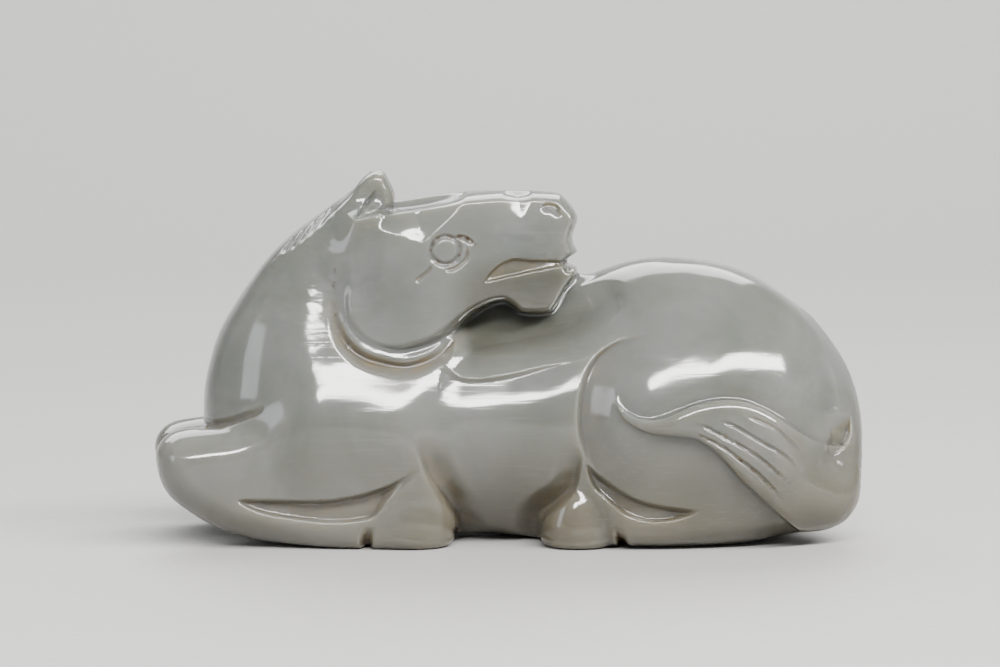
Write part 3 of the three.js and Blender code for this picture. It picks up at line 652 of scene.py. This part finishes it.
# twice as many samples each way, the new ones halfway between the old
def doubled(grid):
    for axis in range(3):
        grid = np.moveaxis(grid, axis, 0)
        wider = np.empty((2 * len(grid) - 1,) + grid.shape[1:], grid.dtype)
        wider[::2] = grid
        wider[1::2] = (grid[:-1] + grid[1:]) / 2
        grid = np.moveaxis(wider, 0, axis)
    return grid


# the field on a fine grid: exact near the surface, and only roughly right away from it
def sampleStone():
    low = np.array(room["low"], np.float32)
    step = fineness["step"] * 2 ** fineness["halvings"]
    counts = [math.ceil(size / step) + 1 for size in room["size"]]
    grid = stone(low + step * np.stack(np.meshgrid(*map(np.arange, counts), indexing="ij"), -1)
                 .reshape(-1, 3)).reshape(counts)
    for _ in range(fineness["halvings"]):
        grid = np.ascontiguousarray(doubled(grid))
        step /= 2
        near = np.argwhere(np.abs(grid) < fineness["nearCells"] * step)
        grid[tuple(near.T)] = stone(low + step * near)
        print("samples near the surface:", len(near))
    return grid, low, step


corners = np.array([(a, b, c) for a in (0, 1) for b in (0, 1) for c in (0, 1)])


# which of the 256 ways to fill a cell's corners leave both the filled and the empty ones in one piece
def plainCells():
    plain = np.zeros(256, bool)
    for pattern in range(256):
        pieces = 0
        for filled in (True, False):
            left = {i for i in range(8) if bool(pattern >> i & 1) == filled}
            while left:
                pieces += 1
                waiting = [left.pop()]
                while waiting:
                    here = waiting.pop()
                    for other in [i for i in left if np.abs(corners[i] - corners[here]).sum() == 1]:
                        left.remove(other)
                        waiting.append(other)
        plain[pattern] = pieces <= 2
    return plain


# cells where the surface would touch itself are filled, so that it stays one clean skin
def fillPinches(grid):
    plain = plainCells()
    mostTurns = 20
    filledBy = 0.2 * fineness["step"]
    for turn in range(mostTurns):
        filled = grid < 0
        pattern = sum((filled[a:grid.shape[0] - 1 + a, b:grid.shape[1] - 1 + b, c:grid.shape[2] - 1 + c]
                       .astype(np.uint8) << i) for i, (a, b, c) in enumerate(corners))
        pinched = np.argwhere(~plain[pattern])
        if not len(pinched):
            break
        for corner in corners:
            spots = tuple((pinched + corner).T)
            grid[spots] = np.minimum(grid[spots], -filledBy)
    print("pinched cells filled in", turn, "turns")


# one point in each cell that the surface crosses, and one face across each crossed edge
def skin(grid, low, step):
    filled = grid < 0
    size = np.array(grid.shape)
    count = np.zeros(size - 1, np.uint8)
    for a, b, c in corners:
        count += filled[a:size[0] - 1 + a, b:size[1] - 1 + b, c:size[2] - 1 + c]
    cells = np.argwhere((count > 0) & (count < 8))
    number = np.full(size - 1, -1, np.int32)
    number[tuple(cells.T)] = np.arange(len(cells))
    total = np.zeros((len(cells), 3))
    crossings = np.zeros(len(cells))
    faces = []
    for axis in range(3):
        along = np.eye(3, dtype=int)[axis]
        u = np.eye(3, dtype=int)[(axis + 1) % 3]
        v = np.eye(3, dtype=int)[(axis + 2) % 3]
        for du, dv in ((0, 0), (1, 0), (0, 1), (1, 1)):
            start = cells + du * u + dv * v
            here = grid[tuple(start.T)]
            there = grid[tuple((start + along).T)]
            crossed = (here < 0) != (there < 0)
            share = here[crossed] / (here[crossed] - there[crossed])
            total[crossed] += start[crossed] + share[:, None] * along
            crossings[crossed] += 1
        first = np.take(filled, range(size[axis] - 1), axis)
        edges = np.argwhere(first != np.take(filled, range(1, size[axis]), axis))
        edges = edges[((edges[:, (axis + 1) % 3] > 0) & (edges[:, (axis + 2) % 3] > 0))]
        around = ((0, 0), (1, 0), (1, 1), (0, 1))
        quads = np.stack([number[tuple((edges - a * u - b * v).T)] for a, b in around], 1)
        outward = first[tuple(edges.T)]
        quads[~outward] = quads[~outward][:, ::-1]
        faces.append(quads)
    return low + step * total / crossings[:, None], np.vstack(faces)


# points slide along the slope of the field onto its zero
def settle(points, turns, limit):
    gentlest = 0.3
    for _ in range(turns):
        tilt = slope(points)
        steepness = np.maximum((tilt ** 2).sum(1), gentlest)
        move = np.clip(-stone(points) / steepness, -limit, limit)
        points = points + tilt * move[:, None]
    return points


def meshOf(name, points, faces):
    mesh = bpy.data.meshes.new(name)
    mesh.vertices.add(len(points))
    mesh.vertices.foreach_set("co", np.ascontiguousarray(points, np.float32).ravel())
    mesh.loops.add(faces.size)
    mesh.loops.foreach_set("vertex_index", np.ascontiguousarray(faces, np.int32).ravel())
    mesh.polygons.add(len(faces))
    mesh.polygons.foreach_set("loop_start", np.arange(0, faces.size, faces.shape[1], dtype=np.int32))
    mesh.update(calc_edges=True)
    mesh.validate()
    return mesh


def pointsOf(mesh):
    points = np.empty(len(mesh.vertices) * 3, np.float32)
    mesh.vertices.foreach_get("co", points)
    return points.reshape(-1, 3)


# flat stretches lose most of their faces and fine carving keeps them
def thinOut(mesh, triangles):
    holder = bpy.data.objects.new("thinning", mesh)
    bpy.context.scene.collection.objects.link(holder)
    thinner = holder.modifiers.new("thinner", "DECIMATE")
    thinner.ratio = triangles / (2 * len(mesh.polygons))
    shown = holder.evaluated_get(bpy.context.evaluated_depsgraph_get())
    thinned = bpy.data.meshes.new_from_object(shown)
    bpy.data.objects.remove(holder)
    bpy.data.meshes.remove(mesh)
    return thinned


def setValues(mesh, name, values):
    layer = mesh.attributes.new(name, "FLOAT", "POINT")
    layer.data.foreach_set("value", np.ascontiguousarray(values, np.float32))


# where the stone holds old dirt, where fine lines of it are, and where painted shade darkens the back
# hollow
def stainAndShadeMasks(points):
    x, y, z = points.T
    at = readAll(x, z)
    leftSide = ramp(-y, *carvedSide)
    rightSide = ramp(y, *carvedSide)
    carved = np.maximum(leftSide, rightSide)
    soft = at["softStain"] * leftSide + at["bothStain"] * rightSide
    leftLine = np.maximum(at["tailStain"], at["leftStain"]) * leftSide
    line = np.maximum(at["lineStain"] * carved, leftLine)
    shade = at["shade"] * leftSide * (1 - ramp(x, *backHollow["darkTo"]))
    return np.maximum(soft, at["mouthStain"] * carved), line, shade


# the finished skin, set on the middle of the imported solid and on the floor
def makeHorse():
    grid, low, step = sampleStone()
    fillPinches(grid)
    points, faces = skin(grid, low, step)
    print("skin:", len(points), "points")
    mesh = thinOut(meshOf("horseStone", points, faces), fineness["triangles"])
    points = settle(pointsOf(mesh), turns=2, limit=0.06)
    points[:, 2] = np.maximum(points[:, 2], 0)
    tilt = slope(points)
    softStain, lineStain, shade = stainAndShadeMasks(points)
    centre = (points.min(0) + points.max(0)) / 2
    cadCentre = (np.array(solidBox[0]) + np.array(solidBox[1])) / 2
    placed = (points - centre) * mm + cadCentre
    placed[:, 2] = points[:, 2] * mm
    mesh.vertices.foreach_set("co", np.ascontiguousarray(placed, np.float32).ravel())
    mesh.update()
    setValues(mesh, "softStain", softStain)
    setValues(mesh, "lineStain", lineStain)
    setValues(mesh, "shade", shade)
    mesh.polygons.foreach_set("use_smooth", np.ones(len(mesh.polygons), bool))
    mesh.normals_split_custom_set_from_vertices(tilt / np.linalg.norm(tilt, axis=1)[:, None])
    horse = bpy.data.objects.new("horseStone", mesh)
    bpy.context.scene.collection.objects.link(horse)
    print("horse:", len(mesh.polygons), "faces, centre", centre.round(3))
    return horse


horse = makeHorse()

# the stone: pale nephrite, clouded, with old dirt in the cuts, fine polishing scratches, a warm tint
# mixed with painted shade towards the bottom and painted shade in the hollow under the jaw. A range is
# between which values a mark comes in, and a share is how strong it is, or from how strong to how
# strong
jade = {
    "pale": (0.125, 0.128, 0.123), "green": (0.09, 0.096, 0.086),
    "cloudSize": 85, "cloudRange": (0.35, 0.65),
    # a warm tint, darker towards the bottom: partly the stone's own tone, partly painted shade near the
    # floor
    "tintShadeColor": (0.075, 0.06, 0.034), "tintShadeBelow": (0.014, 0.002), "tintShadeShare": 0.75,
    "tintShadeRange": (0.3, 0.7), "tintShadePatches": (0.3, 1),
    # painted shade in the hollow under the jaw, varied by a noise
    "shadeColor": (0.034, 0.033, 0.02), "shadeShare": 0.95,
    "shadeMottleSize": 160, "shadeMottleRange": (0.3, 0.6), "shadeMottleShare": (0.7, 1),
    "stainColor": (0.2, 0.14, 0.065), "stainShare": 0.7, "stainDullness": 0.6,
    "spotSize": 700, "spotRange": (0.4, 0.6), "spotShare": (0.4, 1),
    "gritColor": (0.05, 0.026, 0.01), "gritSize": 1500, "gritRange": (0.48, 0.6),
    "gritStretchSize": 260, "gritStretchRange": (0.42, 0.56), "gritLine": (0.3, 0.9),
    "scratchColor": (0.3, 0.31, 0.29), "scratchShare": 0.06, "scratchHeight": 0.000004,
    "scratchSize": 3200, "scratchStretch": (0.035, 1, 1), "scratchRange": (0.62, 0.74),
    "scratchTurns": [(0, 0.05, 0.1), (0.3, 0.5, 0.2), (0, 1.4, 0.3)], "scratchDullness": 0.25,
    "wornSize": 120, "wornRange": (0.45, 0.7), "wornShare": (0.25, 1),
    "rippleSize": 420, "rippleHeight": 0.000009, "roughness": (0.1, 0.4),
    "glow": 1, "glowDepth": 0.005, "glowTint": (1, 0.82, 0.55), "ior": 1.65,
}


# short ways to place shader nodes and join them
class Nodes:
    def __init__(self, material):
        material.use_nodes = True
        self.tree = material.node_tree
        self.tree.nodes.clear()

    def add(self, kind, values=None, **settings):
        node = self.tree.nodes.new(kind)
        for name, value in settings.items():
            setattr(node, name, value)
        for name, value in (values or {}).items():
            if isinstance(value, bpy.types.NodeSocket):
                self.tree.links.new(value, node.inputs[name])
            else:
                node.inputs[name].default_value = value
        return node

    def math(self, operation, a, b=0.0):
        node = self.add("ShaderNodeMath", {0: a, 1: b}, operation=operation)
        return node.outputs[0]

    def range(self, value, low, high, toLow=0.0, toHigh=1.0):
        node = self.add("ShaderNodeMapRange", {"Value": value, "From Min": low, "From Max": high,
                                               "To Min": toLow, "To Max": toHigh})
        return node.outputs["Result"]

    def blend(self, share, a, b):
        node = self.add("ShaderNodeMix", data_type="RGBA")
        for socket, value in zip((node.inputs[0], node.inputs[6], node.inputs[7]), (share, a, b)):
            if isinstance(value, bpy.types.NodeSocket):
                self.tree.links.new(value, socket)
            else:
                socket.default_value = (*value, 1) if isinstance(value, tuple) else value
        return node.outputs[2]

    def noise(self, place, size, detail=2.0, roughness=0.5, twist=0.0):
        node = self.add("ShaderNodeTexNoise", {"Vector": place, "Scale": size, "Detail": detail,
                                               "Roughness": roughness, "Distortion": twist})
        return node.outputs["Fac"]

    def stretched(self, place, turn, scale):
        node = self.add("ShaderNodeMapping", {"Vector": place, "Rotation": turn, "Scale": scale})
        return node.outputs["Vector"]


def makeJade():
    material = bpy.data.materials.new("jade")
    n = Nodes(material)
    place = n.add("ShaderNodeTexCoord").outputs["Object"]
    height = n.add("ShaderNodeSeparateXYZ", {0: place}).outputs["Z"]
    soft = n.add("ShaderNodeAttribute", attribute_name="softStain").outputs["Fac"]
    line = n.add("ShaderNodeAttribute", attribute_name="lineStain").outputs["Fac"]
    shade = n.add("ShaderNodeAttribute", attribute_name="shade").outputs["Fac"]

    clouds = n.noise(place, jade["cloudSize"], detail=4, roughness=0.6, twist=0.6)
    color = n.blend(n.range(clouds, *jade["cloudRange"]), jade["pale"], jade["green"])
    # warmer and darker towards the bottom: partly the stone's own tone, partly painted shade near the
    # floor
    low = n.range(height, *jade["tintShadeBelow"])
    patches = n.noise(place, jade["cloudSize"] / 2)
    patch = n.range(patches, *jade["tintShadeRange"], *jade["tintShadePatches"])
    tintAndShade = n.math("MULTIPLY", n.math("MULTIPLY", low, patch), jade["tintShadeShare"])
    color = n.blend(tintAndShade, color, jade["tintShadeColor"])
    # painted shade in the hollow under the jaw, varied by a noise
    shadeNoise = n.noise(place, jade["shadeMottleSize"], detail=3, roughness=0.6)
    shadeVariation = n.range(shadeNoise, *jade["shadeMottleRange"], *jade["shadeMottleShare"])
    shaded = n.math("MULTIPLY", n.math("MULTIPLY", shade, shadeVariation), jade["shadeShare"])
    color = n.blend(shaded, color, jade["shadeColor"])

    spots = n.noise(place, jade["spotSize"], detail=3, roughness=0.7)
    spot = n.range(spots, *jade["spotRange"], *jade["spotShare"])
    dirt = n.math("MULTIPLY", soft, n.math("MULTIPLY", spot, jade["stainShare"]))
    color = n.blend(dirt, color, jade["stainColor"])
    specks = n.noise(place, jade["gritSize"], detail=2, roughness=0.6)
    stretches = n.range(n.noise(place, jade["gritStretchSize"], detail=1), *jade["gritStretchRange"])
    grit = n.math("MULTIPLY", n.range(specks, *jade["gritRange"]), stretches)
    gritShare = n.math("MULTIPLY", n.range(line, *jade["gritLine"]), grit)
    color = n.blend(gritShare, color, jade["gritColor"])

    scratches = None
    for turn in jade["scratchTurns"]:
        along = n.stretched(place, turn, jade["scratchStretch"])
        fine = n.range(n.noise(along, jade["scratchSize"], detail=1), *jade["scratchRange"])
        scratches = fine if scratches is None else n.math("MAXIMUM", scratches, fine)
    worn = n.range(n.noise(place, jade["wornSize"], detail=2), *jade["wornRange"], *jade["wornShare"])
    marks = n.math("MULTIPLY", scratches, worn)
    color = n.blend(n.math("MULTIPLY", marks, jade["scratchShare"]), color, jade["scratchColor"])
    ripple = n.add("ShaderNodeBump", {"Strength": 1, "Distance": jade["rippleHeight"],
                                      "Height": n.noise(place, jade["rippleSize"], detail=2)})
    bump = n.add("ShaderNodeBump", {"Strength": 1, "Distance": jade["scratchHeight"], "Height": marks,
                                    "Normal": ripple.outputs["Normal"]}, invert=True)
    dull = n.math("ADD", n.math("MULTIPLY", marks, jade["scratchDullness"]),
                  n.math("MULTIPLY", soft, jade["stainDullness"]))
    rough = n.range(dull, 0, 1, *jade["roughness"])
    shader = n.add("ShaderNodeBsdfPrincipled", {
        "Base Color": color, "Roughness": rough, "Normal": bump.outputs["Normal"], "IOR": jade["ior"],
        "Subsurface Weight": jade["glow"], "Subsurface Scale": jade["glowDepth"],
        "Subsurface Radius": jade["glowTint"],
    })
    n.add("ShaderNodeOutputMaterial", {"Surface": shader.outputs["BSDF"]})
    return material


horse.data.materials.append(makeJade())
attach(horse, "root")
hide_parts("horse")
print("jade finished")

# a pale floor that sweeps up behind, soft lights and the camera
studio = {
    "floorColor": (0.34, 0.34, 0.335), "floorHalf": 1.2, "floorFront": 0.9, "floorBack": 0.7,
    "sweep": 0.35, "sweepSteps": 16, "wallHeight": 1.1, "grainSize": 900, "grainRange": (0.3, 0.7),
    "grainRoughness": (0.45, 0.6),
    "worldColor": (0.97, 0.98, 0.97), "worldStrength": 0.7,
    "lights": [
        {"name": "key", "at": (0.2, -0.335, 0.38), "size": (0.9, 0.085), "watts": 13.8,
         "color": (1, 0.98, 0.95)},
        {"name": "fill", "at": (-0.6, -0.3, 0.2), "size": (0.2, 0.3), "watts": 0.7,
         "color": (0.9, 0.95, 1)},
        {"name": "back", "at": (-0.1, 0.5, 0.5), "size": (0.8, 0.4), "watts": 7,
         "color": (1, 1, 1)},
    ],
}
view = {
    "target": (-0.0004, 0.0006, 0.0194), "distance": 0.38, "elevation": 5, "sensor": 36,
    "widthSeen": 0.096, "nearest": 0.01,
}


def makeFloor():
    flatTo = studio["floorBack"] - studio["sweep"]
    rise = [(-studio["floorFront"], 0), (flatTo, 0)]
    for i in range(1, studio["sweepSteps"] + 1):
        a = math.pi / 2 * i / studio["sweepSteps"]
        rise.append((flatTo + studio["sweep"] * math.sin(a), studio["sweep"] * (1 - math.cos(a))))
    rise.append((studio["floorBack"], studio["wallHeight"]))
    half = studio["floorHalf"]
    points = np.array([(side * half, y, z) for y, z in rise for side in (-1, 1)])
    faces = np.array([(2 * i, 2 * i + 1, 2 * i + 3, 2 * i + 2) for i in range(len(rise) - 1)])
    mesh = meshOf("floor", points, faces)
    mesh.polygons.foreach_set("use_smooth", np.ones(len(faces), bool))
    floor = bpy.data.objects.new("floor", mesh)
    bpy.context.scene.collection.objects.link(floor)
    material = bpy.data.materials.new("paper")
    n = Nodes(material)
    place = n.add("ShaderNodeTexCoord").outputs["Object"]
    grain = n.noise(place, studio["grainSize"], detail=3)
    rough = n.range(grain, *studio["grainRange"], *studio["grainRoughness"])
    shader = n.add("ShaderNodeBsdfPrincipled", {"Base Color": (*studio["floorColor"], 1),
                                                "Roughness": rough})
    n.add("ShaderNodeOutputMaterial", {"Surface": shader.outputs["BSDF"]})
    mesh.materials.append(material)
    floor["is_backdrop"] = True


def aim(thing, target):
    thing.rotation_euler = (Vector(target) - thing.location).to_track_quat("-Z", "Y").to_euler()


def makeLights():
    for row in studio["lights"]:
        lamp = bpy.data.lights.new(row["name"], "AREA")
        lamp.shape = "RECTANGLE"
        lamp.size, lamp.size_y = row["size"]
        lamp.energy = row["watts"]
        lamp.color = row["color"]
        holder = bpy.data.objects.new(row["name"], lamp)
        holder.location = row["at"]
        aim(holder, view["target"])
        bpy.context.scene.collection.objects.link(holder)
    world = bpy.data.worlds.new("soft")
    world.use_nodes = True
    sky = world.node_tree.nodes["Background"]
    sky.inputs["Color"].default_value = (*studio["worldColor"], 1)
    sky.inputs["Strength"].default_value = studio["worldStrength"]
    bpy.context.scene.world = world


def makeCamera():
    lens = bpy.data.cameras.new("camera")
    lens.sensor_width = view["sensor"]
    lens.lens = view["sensor"] * view["distance"] / view["widthSeen"]
    lens.clip_start = view["nearest"]
    camera = bpy.data.objects.new("camera", lens)
    tilt = math.radians(view["elevation"])
    away = Vector((0, -math.cos(tilt), math.sin(tilt))) * view["distance"]
    camera.location = Vector(view["target"]) + away
    aim(camera, view["target"])
    bpy.context.scene.collection.objects.link(camera)
    bpy.context.scene.camera = camera


makeFloor()
makeLights()
makeCamera()
print("studio ready")

[[list(corner) for corner in box] for box in (solidBox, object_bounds())]
